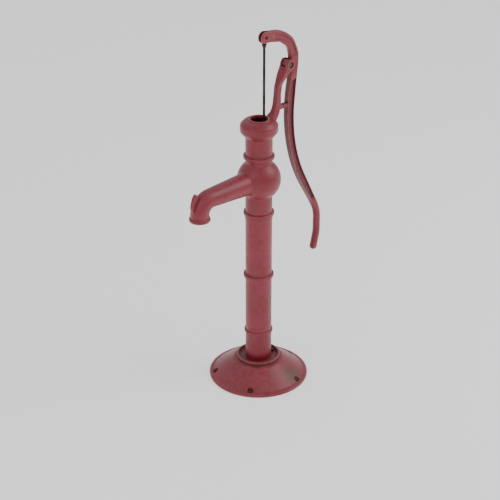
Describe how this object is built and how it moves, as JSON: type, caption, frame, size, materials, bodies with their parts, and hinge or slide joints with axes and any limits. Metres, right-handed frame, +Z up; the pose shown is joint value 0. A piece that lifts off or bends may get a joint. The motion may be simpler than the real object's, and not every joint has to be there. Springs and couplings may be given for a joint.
{
  "type": "hand well pump",
  "caption": "Tall cast-iron hand well pump: bell foot, slim column, bulbed head with a down-turned spout, and a hooked lever that works the lift pump inside.",
  "frame": {"origin": "centre of the foot's bottom face, where the pump stands on its slab, at the centre of the anchor bolts' circle", "axes": "+Z up along the column; +X towards the lever; -X towards the spout; Y = 0 is the plane of symmetry of the castings"},
  "size_m": [0.6407, 0.374, 1.369],
  "materials": {
    "red_paint": "semi-gloss enamel over rough casting",
    "dark_steel": "browned, dull",
    "zinc_steel": "dull zinc",
    "galvanised_steel": "dull galvanised",
    "brass": "satin",
    "leather": "matt, wet",
    "rubber": "matt",
    "raw_iron": "rough"
  },
  "bodies": {
    "stand": {"base_flange": "red_paint", "column_lock_bolt": "dark_steel", "stand_column": "red_paint", "suction_pipe": "galvanised_steel", "suction_coupling": "galvanised_steel", "lower_gasket": "rubber", "upper_gasket": "rubber", "cap_gasket": "rubber", "barrel": "red_paint", "barrel_liner": "brass", "foot_valve_seat": "brass", "flap_tab": "leather", "flap_clamp": "brass", "flap_screw_near": "zinc_steel", "flap_screw_far": "zinc_steel", "pump_head": "red_paint", "spout": "red_paint", "spout_elbow": "red_paint", "cap_bracket": "red_paint", "pivot_pin": "red_paint", "pivot_washer": "zinc_steel", "pivot_cotter": "zinc_steel"},
    "lever": {"handle": "red_paint", "tip_pin": "dark_steel"},
    "rod": {"rod_head": "dark_steel", "pump_rod": "dark_steel", "rod_foot": "dark_steel", "rod_foot_nut": "dark_steel", "foot_pin": "dark_steel"},
    "plunger": {"plunger_yoke": "zinc_steel", "plunger_stem": "zinc_steel", "stem_nut_lower": "zinc_steel", "stem_nut_upper": "zinc_steel", "plunger_cage": "brass", "cup_leather": "leather", "plunger_follower": "brass"},
    "plunger_poppet": {"plunger_valve": "brass"},
    "foot_clack": {"foot_valve_flap": "leather", "foot_valve_weight": "raw_iron", "foot_valve_screw": "zinc_steel", "foot_valve_nut": "zinc_steel"}
  },
  "joints": [
    {"name": "lever_swing", "type": "hinge", "parent": "stand", "child": "lever", "pos_m": [0.137, 0, 1.221], "axis": [0, -1, 0], "range_deg": [0, 70]},
    {"name": "rod_swing", "type": "hinge", "parent": "lever", "child": "rod", "pos_m": [0.0235, 0, 1.348], "axis": [0, -1, 0], "range_deg": [-65, 0]},
    {"name": "plunger_slide", "type": "slide", "parent": "stand", "child": "plunger", "axis": [0, 0, 1], "range_m": [-0.1885, 0]},
    {"name": "poppet_lift", "type": "slide", "parent": "plunger", "child": "plunger_poppet", "axis": [0, 0, 1], "range_m": [0, 0.007]},
    {"name": "clack_swing", "type": "hinge", "parent": "stand", "child": "foot_clack", "pos_m": [-0.0287, 0, 0.43825], "axis": [0, -1, 0], "range_deg": [0, 30]}
  ],
  "couplings": [
    {"joint": "rod_swing", "follows": "lever_swing", "ratio": -0.92},
    {"joint": "plunger_slide", "follows": "lever_swing", "m_per_rad": -0.15396}
  ]
}
